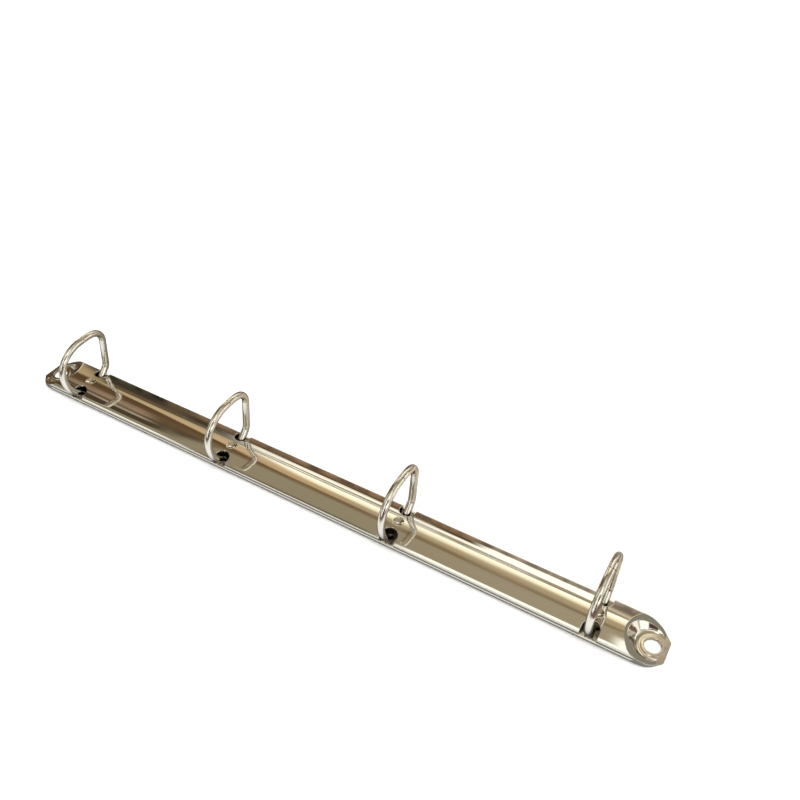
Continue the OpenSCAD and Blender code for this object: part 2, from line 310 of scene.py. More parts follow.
@dataclass(frozen=True)
class PlatedFinish:
    """A bright or brushed plated steel.

    Attributes:
        name: Name of the material.
        plate: Colour of the clean plate.
        clouded: Colour where it is clouded.
        smooth: Roughness of the clean plate.
        rough: Roughness where it is clouded.
        stretch: How the drawn lines are stretched along each axis.
        fine: Closeness of the fine lines.
        broad: Closeness of the broad waves.
        relief: Height of the lines in metres.
        edge_r: Radius of the softened edges in metres.
        grazing: Tint of the plate where it is seen edge on.
        swept: True where the lines follow the piece's own sweep and not its frame.
    """

    name: str
    plate: Colour
    clouded: Colour
    smooth: float
    rough: float
    stretch: tuple[float, float, float]
    fine: float
    broad: float
    relief: float
    edge_r: float = 0.0002
    grazing: Colour = (0.62, 0.6, 0.56)
    swept: bool = False

    def material(self, effects: Effects) -> bpy.types.Material:
        """Builds the material.

        Args:
            effects: The shared node groups.

        Returns:
            The new material.
        """
        made = bpy.data.materials.new(self.name)
        made.use_nodes = True
        graph = Graph(made.node_tree)
        coords = graph.add("ShaderNodeTexCoord")
        place = coords.outputs["Object"]
        along = coords.outputs["UV"] if self.swept else place
        stretched = graph.add("ShaderNodeMapping", {"Vector": along, "Scale": self.stretch}).outputs[0]
        lines = graph.add(
            "ShaderNodeGroup",
            {"Place": stretched, "Fine": self.fine, "Broad": self.broad},
            node_tree=effects.drawn_lines,
        )
        marks = graph.add(
            "ShaderNodeGroup",
            {
                "Place": place,
                "Plate": (*self.plate, 1.0),
                "Clouded": (*self.clouded, 1.0),
                "Smooth": self.smooth,
                "Rough": self.rough,
            },
            node_tree=effects.handling,
        )
        rounded = graph.add("ShaderNodeBevel", {"Radius": self.edge_r}, samples=6)
        bump = graph.add(
            "ShaderNodeBump",
            {
                "Height": lines.outputs["Height"],
                "Strength": 1.0,
                "Distance": self.relief,
                "Normal": rounded.outputs[0],
            },
        )
        shader = graph.add(
            "ShaderNodeBsdfPrincipled",
            {
                "Base Color": marks.outputs["Colour"],
                "Roughness": marks.outputs["Roughness"],
                "Metallic": 1.0,
                "Specular Tint": (*self.grazing, 1.0),
                "Normal": bump.outputs[0],
            },
        )
        graph.add("ShaderNodeOutputMaterial", {"Surface": shader.outputs[0]})
        return made


COVER_PLATE = PlatedFinish(
    name="bright_nickel_sheet",
    plate=(0.87, 0.84, 0.77),
    clouded=(0.83, 0.81, 0.76),
    smooth=0.035,
    rough=0.14,
    stretch=(1.5, 90.0, 90.0),
    fine=9.0,
    broad=2.6,
    relief=0.00006,
    edge_r=0.00045,
)
BLADE_PLATE = PlatedFinish(
    name="plated_strip",
    plate=(0.62, 0.6, 0.56),
    clouded=(0.5, 0.48, 0.45),
    smooth=0.22,
    rough=0.4,
    stretch=(4.0, 300.0, 300.0),
    fine=9.0,
    broad=3.0,
    relief=0.00002,
)
WIRE_PLATE = PlatedFinish(
    name="bright_nickel_wire",
    plate=(0.95, 0.93, 0.88),
    clouded=(0.88, 0.86, 0.82),
    smooth=0.015,
    rough=0.08,
    stretch=(0.35, 5.0, 1.0),
    fine=6.0,
    broad=1.6,
    relief=0.00003,
    edge_r=0.00004,
    grazing=(0.3, 0.29, 0.27),
    swept=True,
)


@dataclass(frozen=True)
class Step:
    """One step of a wire's path: a straight when turn is zero, otherwise a bend.

    Attributes:
        size: Length of the straight, or radius of the bend, in millimetres.
        turn: Angle in degrees, positive towards the middle of the cover.
    """

    size: float
    turn: float = 0.0


@dataclass(frozen=True)
class Station:
    """One cross-section of a wire, in the plane of its ring.

    Attributes:
        place: Distance out from the middle and height, in millimetres.
        heading: Angle of the wire's own direction, in degrees from straight out.
        radius: Radius of the cross-section.
        run: Distance along the wire.
    """

    place: Point2
    heading: float
    radius: float
    run: float


@dataclass
class RingHalf:
    """One half of a ring: a bent wire with its foot staked in the blade.

    Attributes:
        number: Number of the ring along the cover, from 1.
        side: Side of the cover that it swings on.
        ring_x: Place of the ring along the cover.
        steps: Path of the wire from its foot to its tip.
        foot_y: Distance of the foot from the middle.
        foot_z: Height of the foot, where it is set into the blade.
        sink: How far the foot is set into the blade.
        wire_r: Radius of the wire.
        dip: Slope of the closed blade in degrees.
        blade_t: Thickness of the blade.
        stake_r: Radius of the pin through the blade.
        head_r: Radius of the peened head.
        head_h: Height of the peened head.
        head_round: Rounding of the head's edge.
        head_flat: Share of the head's radius that is flat.
        head_belly: Share of the head's height at which it is widest.
        tip_chamfer: Chamfer around the tip.
        nub_r: Radius of the locating nub at its root.
        nub_h: Length of the nub.
        nub_taper: Radius that the nub loses for its length.
        nub_cone: Share of the nub's length that is a plain cone.
        nub_end: Shares of the nub's length and of its root radius, in its rounded end.
        play: Play of the nub in its socket.
        around: Points around the wire.
        bend_step: Largest angle between two stations of a bend, in degrees.
        straight_step: Largest distance between two stations of a straight.
        crease: Angle in degrees from which an edge stays sharp.
    """

    number: int
    side: Side
    ring_x: float
    steps: list[Step]
    foot_y: float
    foot_z: float
    sink: float
    wire_r: float = 1.5
    dip: float = 4.0
    blade_t: float = 1.0
    stake_r: float = 1.0
    head_r: float = 1.4
    head_h: float = 0.3
    head_round: float = 0.25
    head_flat: float = 0.6
    head_belly: float = 0.6
    tip_chamfer: float = 0.2
    nub_r: float = 0.95
    nub_h: float = 0.8
    nub_taper: float = 0.5
    nub_cone: float = 0.55
    nub_end: tuple[Point2, ...] = ((0.88, 0.5), (1.0, 0.25))
    play: float = 0.12
    around: int = 40
    bend_step: float = 3.0
    straight_step: float = 1.2
    crease: float = 35.0

    @property
    def name(self) -> str:
        """Name of the solid that the wire stands for."""
        return f"{self.side.name.lower()}_ring_{self.number}"

    @property
    def body(self) -> str:
        """Name of the body that the wire moves with."""
        return f"{self.side.name.lower()}_half"

    def stations(self) -> list[Station]:
        """Walks the path from the foot to the tip.

        Returns:
            The stations in order, with none doubled.
        """
        out, up = self.foot_y, self.foot_z
        heading, run = 90.0, 0.0
        made = [Station((out, up), heading, self.wire_r, run)]
        for step in self.steps:
            if step.turn == 0.0:
                parts = max(1, math.ceil(step.size / self.straight_step))
                length = step.size / parts
            else:
                parts = max(2, math.ceil(abs(step.turn) / self.bend_step))
                length = math.radians(abs(step.turn)) * step.size / parts
            for _ in range(parts):
                turn = step.turn / parts
                middle = math.radians(heading + turn / 2)
                half = math.radians(abs(turn) / 2)
                chord = length if turn == 0.0 else 2 * step.size * math.sin(half)
                out += chord * math.cos(middle)
                up += chord * math.sin(middle)
                heading += turn
                run += length
                made.append(Station((out, up), heading, self.wire_r, run))
        return made

    @staticmethod
    def straight_end(start: Station, rows: list[Point2]) -> list[Station]:
        """Sets stations along a straight end of the wire.

        Args:
            start: The station that distances are taken from.
            rows: Distance ahead of it and radius of each new station.

        Returns:
            The new stations, in the order of the rows.
        """
        heading = math.radians(start.heading)
        ahead = Vector((math.cos(heading), math.sin(heading)))
        made = []
        for offset, radius in rows:
            spot = Vector(start.place) + ahead * offset
            made.append(Station((spot.x, spot.y), start.heading, radius, start.run + offset))
        return made

    def tip(self, last: Station) -> list[Station]:
        """Shapes the end of the wire: its face, then the nub or the socket.

        Args:
            last: The last full station of the wire.

        Returns:
            Stations that follow it.
        """
        rows = [(0.0, self.wire_r - self.tip_chamfer)]
        if self.side is Side.NEAR:
            cone = self.nub_cone * self.nub_h
            rows += [(0.0, self.nub_r), (cone, self.nub_r - self.nub_taper * cone)]
            rows += [(length * self.nub_h, radius * self.nub_r) for length, radius in self.nub_end]
        else:
            mouth = self.nub_r + self.play
            rows += [(0.0, mouth), (-self.nub_h - self.play / 2, mouth - self.nub_taper * self.nub_h)]
        return self.straight_end(last, rows)

    def foot(self) -> list[Station]:
        """Shapes the staked pin, from the peened head up to the wire.

        Returns:
            Stations that come before the wire.
        """
        start = Station((self.foot_y, self.foot_z), 90.0 + self.dip, self.stake_r, 0.0)
        under = self.sink - self.blade_t
        low = under - self.head_h
        belly = low + self.head_belly * self.head_h
        rows = [(low, self.head_flat * self.head_r), (low, self.head_r - self.head_round)]
        rows += [(belly, self.head_r), (under, self.head_r)]
        rows += [(under, self.stake_r), (-2 * self.sink, self.stake_r)]
        return self.straight_end(start, rows)

    def circle(self, station: Station) -> list[Vector]:
        """Gives the points around one station.

        Args:
            station: The station.

        Returns:
            The points, in metres.
        """
        heading = math.radians(station.heading)
        inward = Vector((0.0, -math.sin(heading) * self.side.value, math.cos(heading)))
        sideways = Vector((1.0, 0.0, 0.0))
        centre = Vector((self.ring_x, station.place[0] * self.side.value, station.place[1]))
        points = []
        for i in range(self.around):
            angle = 2 * math.pi * i / self.around
            spot = centre + station.radius * (math.cos(angle) * inward + math.sin(angle) * sideways)
            points.append(spot * MM)
        return points

    def build(self) -> bpy.types.Object:
        """Sweeps the wire as one closed mesh that stands for its solid.

        Returns:
            The new object, riding on its blade's body.
        """
        wire = self.stations()
        last = wire.pop()
        wire += self.straight_end(last, [(-self.tip_chamfer, self.wire_r)])
        rows = self.foot() + wire + self.tip(last)
        points: list[Vector] = []
        for row in rows:
            points += self.circle(row)
        n = self.around
        faces = [tuple(range(n))]
        for i in range(len(rows) - 1):
            a, b = i * n, (i + 1) * n
            faces += [(a + k, b + k, b + (k + 1) % n, a + (k + 1) % n) for k in range(n)]
        faces.append(tuple(reversed(range((len(rows) - 1) * n, len(rows) * n))))
        if self.side is Side.FAR:
            faces = [tuple(reversed(f)) for f in faces]
        mesh = bpy.data.meshes.new(self.name + "_wire")
        mesh.from_pydata([tuple(p) for p in points], [], faces)
        mesh.validate()
        self.lay_uv(mesh, rows)
        mesh.polygons.foreach_set("use_smooth", [True] * len(mesh.polygons))
        mesh.set_sharp_from_angle(angle=math.radians(self.crease))
        made = bpy.data.objects.new(self.name + "_wire", mesh)
        bpy.context.scene.collection.objects.link(made)
        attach(made, self.body)
        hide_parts(self.name)
        return made

    def lay_uv(self, mesh: bpy.types.Mesh, rows: list[Station]) -> None:
        """Lays a map along the wire and around it, in millimetres, for the drawn lines.

        Args:
            mesh: The swept mesh.
            rows: Its stations.
        """
        layer = mesh.uv_layers.new(name="sweep")
        n = self.around
        for polygon in mesh.polygons:
            corners = [mesh.loops[i].vertex_index for i in polygon.loop_indices]
            turns = [v % n for v in corners]
            wraps = len(corners) == 4 and max(turns) == n - 1 and min(turns) == 0
            for loop, vertex, turn in zip(polygon.loop_indices, corners, turns):
                around = turn + (n if wraps and turn == 0 else 0)
                layer.data[loop].uv = (rows[vertex // n].run, around * 2 * math.pi * self.wire_r / n)

    def dress(self, piece: bpy.types.Object, material: bpy.types.Material) -> None:
        """Gives the wire its finish."""
        piece.data.materials.append(material)


@dataclass
class RingSet:
    """All the rings, with the sizes that their wires share, in millimetres and degrees.

    Attributes:
        count: How many rings there are.
        pitch: Distance between neighbours.
        top: Height of the wire's centre line at the top.
        foot_y: Distance of a foot from the middle.
        foot_z: Height of a foot on its closed blade.
        sink: How far a foot is set into its blade.
        seam_y: Place of the seam across the ring.
        seam_gap: Gap at the seam.
        foot_r: Bend radius above a foot.
        foot_turn: Turn of that bend.
        near_rise: Straight rise of a round half's foot.
        near_slant: Slanted stretch of a round half.
        near_bends: Radius and turn of a round half's bends, from the bottom up.
        far_rise: Straight rise of a post half's foot.
        far_slant: Slanted stretch of a post half.
        far_bends: Radius and turn of a post half's bends, from the bottom up.
    """

    count: int = 4
    pitch: float = 80.0
    top: float = 27.2
    foot_y: float = 6.0
    foot_z: float = 1.58689
    sink: float = 0.12
    seam_y: float = 2.1
    seam_gap: float = 0.06
    foot_r: float = 1.7
    foot_turn: float = -45.0
    near_rise: float = 0.05
    near_slant: float = 2.4
    near_bends: tuple[Step, ...] = (Step(15.0, 45.0), Step(10.5, 50.0), Step(14.5, 40.0))
    far_rise: float = 1.0
    far_slant: float = 4.0
    far_bends: tuple[Step, ...] = (Step(4.0, 37.0), Step(5.5, 80.0), Step(14.0, 18.0))

    def steps(self, side: Side) -> list[Step]:
        """Works out the path of one half, so that it reaches the ring's top and its seam.

        Args:
            side: The half's side.

        Returns:
            The steps from the foot to the tip.
        """
        near = side is Side.NEAR
        rise = self.near_rise if near else self.far_rise
        slant = self.near_slant if near else self.far_slant
        bends = self.near_bends if near else self.far_bends
        path = [Step(rise + self.sink), Step(self.foot_r, self.foot_turn), Step(slant), bends[0]]
        path += [Step(0.0), bends[1], bends[2], Step(0.0)]
        side_heading = math.radians(90.0 + self.foot_turn + bends[0].turn)
        _, height = self.reach(path)
        post = (self.top - self.foot_z + self.sink - height) / math.sin(side_heading)
        path[4] = Step(post)
        out, _ = self.reach(path)
        past_middle = self.seam_y if near else -self.seam_y
        path[7] = Step(self.foot_y + out + past_middle - self.seam_gap / 2)
        return path

    @staticmethod
    def reach(path: list[Step]) -> Point2:
        """Gives how far out and up a path leads.

        Args:
            path: The steps, starting straight up.

        Returns:
            The distance out and the distance up.
        """
        out = up = 0.0
        heading = 90.0
        for step in path:
            before, after = math.radians(heading), math.radians(heading + step.turn)
            if step.turn == 0.0:
                out += step.size * math.cos(before)
                up += step.size * math.sin(before)
            else:
                bend = math.copysign(step.size, step.turn)
                out += bend * (math.sin(after) - math.sin(before))
                up += bend * (math.cos(before) - math.cos(after))
            heading += step.turn
        return out, up

    def halves(self) -> list[RingHalf]:
        """Lists every half.

        Returns:
            The halves, near ones first.
        """
        made = []
        foot_z = self.foot_z - self.sink
        for side in (Side.NEAR, Side.FAR):
            for i in range(self.count):
                ring_x = (i - (self.count - 1) / 2) * self.pitch
                made.append(RingHalf(i + 1, side, ring_x, self.steps(side), self.foot_y, foot_z, self.sink))
        return made


@dataclass
class SolidPiece:
    """A piece that keeps its solid shape and only gets a finish.

    Attributes:
        node: Name of the solid.
        slot: The finish's name; not used.
    """

    node: str
    slot: str

    def dress(self, piece: bpy.types.Object, material: bpy.types.Material) -> None:
        """Puts the finish on the solid.

        Args:
            piece: The solid's object.
            material: The finish.
        """
        piece.data.materials.clear()
        piece.data.materials.append(material)


@dataclass(frozen=True)
class Patch:
    """One patch of the room that the bright plate mirrors.

    Directions are two angles in degrees. Along is measured from square across the cover towards its right
    end. Over is measured from the far horizon, up over the cover and down to the near horizon.

    Attributes:
        along: Where the patch starts and ends along the cover.
        over: Where it starts and ends over the cover.
        soft: Widths of its soft edges, along and over.
        stops: Share of the way from its start over the cover to its end, and the tone there.
        lean: How far its start moves along for each degree over.
    """

    along: Point2
    over: Point2
    soft: Point2
    stops: tuple[tuple[float, Colour], ...]
    lean: float = 0.0

    def mask(
        self, graph: Graph, along: bpy.types.NodeSocket, over: bpy.types.NodeSocket
    ) -> bpy.types.NodeSocket:
        """Says where the patch is.

        Args:
            graph: The room's graph.
            along: The direction along the cover.
            over: The direction over the cover.

        Returns:
            A number that is 1 on the patch and 0 off it.
        """
        half_along, half_over = self.soft[0] / 2, self.soft[1] / 2
        start = along
        if self.lean != 0.0:
            middle = (self.over[0] + self.over[1]) / 2
            moved = graph.math("MULTIPLY", graph.math("SUBTRACT", over, middle), self.lean)
            start = graph.math("SUBTRACT", along, moved)
        edges = (
            graph.remap(start, self.along[0] - half_along, self.along[0] + half_along, 0.0, 1.0),
            graph.remap(along, self.along[1] - half_along, self.along[1] + half_along, 1.0, 0.0),
            graph.remap(over, self.over[0] - half_over, self.over[0] + half_over, 0.0, 1.0),
            graph.remap(over, self.over[1] - half_over, self.over[1] + half_over, 1.0, 0.0),
        )
        mask = edges[0]
        for edge in edges[1:]:
            mask = graph.math("MULTIPLY", mask, edge)
        return mask

    def colour(self, graph: Graph, over: bpy.types.NodeSocket) -> bpy.types.NodeSocket:
        """Gives the patch's tone over the cover."""
        share = graph.add("ShaderNodeMapRange", {0: over, 1: self.over[0], 2: self.over[1], 3: 0.0, 4: 1.0})
        return graph.ramp(share.outputs[0], list(self.stops))


DARK_WALL = (0.1, 0.06, 0.028)
KHAKI = (0.31, 0.265, 0.175)
PALE_KHAKI = (0.39, 0.33, 0.225)
TAN = (0.64, 0.46, 0.27)
CREAM = (1.25, 1.15, 0.88)
WINDOW = (1.35, 1.32, 1.2)
MAROON = (0.13, 0.08, 0.062)
ROOM = (
    # Dark wall to the left, and the near wall
    Patch(
        (-90.0, 90.0),
        (0.0, 180.0),
        (0.0, 0.0),
        (
            (0.00, (0.2, 0.13, 0.08)),
            (0.12, (0.13, 0.095, 0.06)),
            (0.22, (0.12, 0.085, 0.05)),
            (0.26, (0.16, 0.1, 0.05)),
            (0.30, DARK_WALL),
            (0.36, (0.14, 0.085, 0.04)),
            (0.41, (0.095, 0.068, 0.038)),
            (0.48, (0.065, 0.048, 0.026)),
            (0.51, (0.22, 0.19, 0.13)),
            (0.60, (0.29, 0.26, 0.19)),
            (0.86, (0.25, 0.23, 0.17)),
            (0.94, (0.4, 0.38, 0.33)),
            (1.00, (0.55, 0.54, 0.5)),
        ),
    ),
    # Lit spots on the dark wall
    Patch((-42.0, -36.0), (65.0, 72.5), (2.0, 3.0), ((0.0, (0.3, 0.2, 0.12)), (1.0, (0.36, 0.27, 0.19)))),
    Patch(
        (-40.5, -36.0),
        (75.3, 80.0),
        (2.0, 2.0),
        ((0.0, (0.3, 0.23, 0.16)), (0.6, (0.48, 0.39, 0.29))),
        0.5,
    ),
    # Ceiling, paler towards the right
    Patch(
        (-43.4, 90.0),
        (68.0, 180.0),
        (2.5, 2.0),
        ((0.0, KHAKI), (0.5, KHAKI), (0.95, (0.16, 0.14, 0.09))),
        -0.22,
    ),
    Patch(
        (-16.0, 90.0),
        (56.0, 180.0),
        (16.0, 6.0),
        ((0.0, (0.31, 0.25, 0.15)), (0.15, PALE_KHAKI), (1.0, KHAKI)),
    ),
    # Far wall under the window, and what stands before it
    Patch(
        (-34.0, 30.0),
        (-10.0, 46.0),
        (2.0, 1.0),
        (
            (0.00, (0.34, 0.28, 0.21)),
            (0.40, (0.3, 0.22, 0.15)),
            (0.55, (0.26, 0.165, 0.105)),
            (0.70, (0.2, 0.125, 0.075)),
            (0.77, (0.06, 0.04, 0.022)),
        ),
    ),
    Patch((-12.0, 4.0), (-10.0, 28.0), (6.0, 2.0), ((0.0, (0.5, 0.46, 0.4)), (1.0, (0.32, 0.27, 0.21)))),
    Patch((-47.0, -40.0), (12.0, 47.0), (1.5, 5.0), ((0.0, (0.34, 0.25, 0.15)), (1.0, (0.52, 0.39, 0.22)))),
    Patch((-40.0, -35.5), (6.0, 39.0), (1.5, 6.0), ((0.0, (0.1, 0.085, 0.06)), (0.6, (0.055, 0.045, 0.03)))),
    Patch((-60.5, -47.5), (10.0, 46.0), (3.0, 6.0), ((0.0, WINDOW), (1.0, WINDOW))),
    Patch((-78.0, -46.5), (94.0, 130.0), (4.0, 10.0), ((0.0, (0.62, 0.58, 0.48)), (1.0, (0.75, 0.72, 0.64)))),
    # Lower window
    Patch((-30.0, -5.0), (34.5, 42.5), (4.0, 2.5), ((0.0, (1.05, 0.98, 0.8)), (1.0, WINDOW))),
    Patch((-13.0, -4.3), (28.0, 42.5), (1.5, 1.5), ((0.0, WINDOW), (1.0, WINDOW))),
    # Wall between the lower window and the corner
    Patch(
        (-4.3, 5.0),
        (22.0, 43.0),
        (0.8, 1.5),
        (
            (0.00, (0.33, 0.27, 0.22)),
            (0.35, (0.21, 0.155, 0.12)),
            (0.60, (0.24, 0.19, 0.14)),
            (0.80, (0.48, 0.41, 0.3)),
            (1.00, (0.8, 0.7, 0.53)),
        ),
    ),
    # Rail between the windows
    Patch((-33.0, 4.0), (42.5, 45.5), (3.0, 0.8), ((0.0, (0.36, 0.31, 0.21)), (1.0, (0.26, 0.2, 0.12)))),
    # Curtain beside the upper window
    Patch(
        (-35.0, 4.0),
        (45.5, 64.0),
        (3.0, 3.0),
        ((0.0, (0.5, 0.4, 0.24)), (0.5, TAN), (1.0, (0.5, 0.35, 0.19))),
        0.88,
    ),
    # Upper window, which fades into the ceiling
    Patch(
        (-26.0, 3.0),
        (45.5, 62.0),
        (5.0, 2.0),
        ((0.0, WINDOW), (0.3, CREAM), (0.55, (1.0, 0.88, 0.6)), (0.75, (0.5, 0.41, 0.26)), (1.0, PALE_KHAKI)),
        0.5,
    ),
    # Corner beside the upper window
    Patch((-0.75, 5.0), (44.0, 62.0), (0.7, 2.0), ((0.0, (0.34, 0.25, 0.185)), (1.0, (0.34, 0.26, 0.19)))),
    # Moulding between wall and ceiling
    Patch((-32.0, 90.0), (65.5, 68.0), (6.0, 1.0), ((0.0, (0.22, 0.16, 0.085)), (1.0, (0.27, 0.215, 0.13)))),
    # Near window and the pillar to its left
    Patch(
        (-29.0, -18.0),
        (140.0, 176.0),
        (8.0, 20.0),
        ((0.0, (0.2, 0.18, 0.12)), (1.0, (0.12, 0.105, 0.065))),
    ),
    Patch((-18.0, 3.0), (115.0, 176.0), (3.0, 12.0), ((0.0, WINDOW), (1.0, WINDOW)), -0.04),
    Patch((-41.0, -33.5), (156.0, 178.0), (3.0, 6.0), ((0.0, WINDOW), (1.0, WINDOW))),
    # Lamp overhead to the right
    Patch((4.0, 34.0), (97.0, 118.0), (6.0, 5.0), ((0.0, (0.9, 0.85, 0.7)), (1.0, WINDOW))),
    Patch((-2.9, 5.0), (79.0, 118.0), (1.2, 14.0), ((0.0, WINDOW), (1.0, WINDOW))),
    # Dark far wall to the right
    Patch(
        (4.0, 46.0),
        (-10.0, 58.0),
        (5.0, 6.0),
        ((0.0, (0.28, 0.23, 0.18)), (0.5, (0.16, 0.145, 0.115)), (0.8, (0.25, 0.235, 0.19))),
    ),
    # Lit panels on it
    Patch((4.5, 14.0), (14.0, 50.0), (3.0, 5.0), ((0.0, (0.8, 0.75, 0.6)), (1.0, CREAM))),
    Patch((14.0, 27.0), (14.0, 31.0), (3.0, 4.0), ((0.0, (0.62, 0.57, 0.47)), (1.0, (0.55, 0.5, 0.4)))),
    Patch((39.0, 48.0), (22.0, 38.0), (3.0, 4.0), ((0.0, CREAM), (1.0, CREAM))),
    # Dark furniture in front, and the bright wall to the right
    Patch((4.5, 34.0), (135.0, 148.0), (4.0, 4.0), ((0.0, (0.42, 0.39, 0.33)), (1.0, (0.42, 0.39, 0.33)))),
    Patch(
        (4.5, 48.0),
        (148.0, 180.0),
        (4.0, 5.0),
        ((0.0, (0.14, 0.095, 0.08)), (0.4, (0.065, 0.043, 0.036))),
    ),
    Patch((34.0, 90.0), (62.0, 104.0), (6.0, 8.0), ((0.0, (0.36, 0.33, 0.28)), (1.0, (0.5, 0.47, 0.4)))),
    Patch((32.0, 90.0), (104.0, 146.0), (6.0, 6.0), ((0.0, (0.8, 0.77, 0.7)), (1.0, WINDOW))),
    Patch((4.0, 42.0), (119.0, 136.0), (3.0, 4.0), ((0.0, (0.1, 0.08, 0.06)), (1.0, (0.07, 0.055, 0.042)))),
    Patch(
        (47.0, 90.0),
        (-10.0, 180.0),
        (6.0, 6.0),
        (
            (0.00, WINDOW),
            (0.35, (1.0, 0.98, 0.9)),
            (0.60, (0.5, 0.48, 0.42)),
            (0.69, (0.6, 0.58, 0.52)),
            (0.76, WINDOW),
        ),
    ),
    Patch((50.0, 76.0), (166.0, 180.0), (6.0, 6.0), ((0.0, (0.2, 0.17, 0.14)), (1.0, (0.12, 0.1, 0.08)))),
    Patch((54.0, 72.0), (-12.0, 9.0), (5.0, 5.0), ((0.0, MAROON), (1.0, MAROON))),
)


@dataclass(frozen=True)
class Lamp:
    """A soft round lamp, aimed at the middle of the cover, that the plate doesn't mirror.

    Attributes:
        name: Name of the lamp.
        place: Where it hangs, in metres.
        size: Its width in metres.
        power: Its power in watts.
        tint: Colour of its light.
    """

    name: str
    place: tuple[float, float, float]
    size: float
    power: float
    tint: Colour = (1.0, 0.985, 0.96)

    def build(self) -> bpy.types.Object:
        """Hangs the lamp.

        Returns:
            The new lamp.
        """
        data = bpy.data.lights.new(self.name, "AREA")
        data.shape = "DISK"
        data.size = self.size
        data.energy = self.power
        data.color = self.tint
        made = bpy.data.objects.new(self.name, data)
        made.location = self.place
        made.rotation_euler = (-Vector(self.place)).to_track_quat("-Z", "Y").to_euler()
        made.visible_glossy = False
        bpy.context.scene.collection.objects.link(made)
        return made


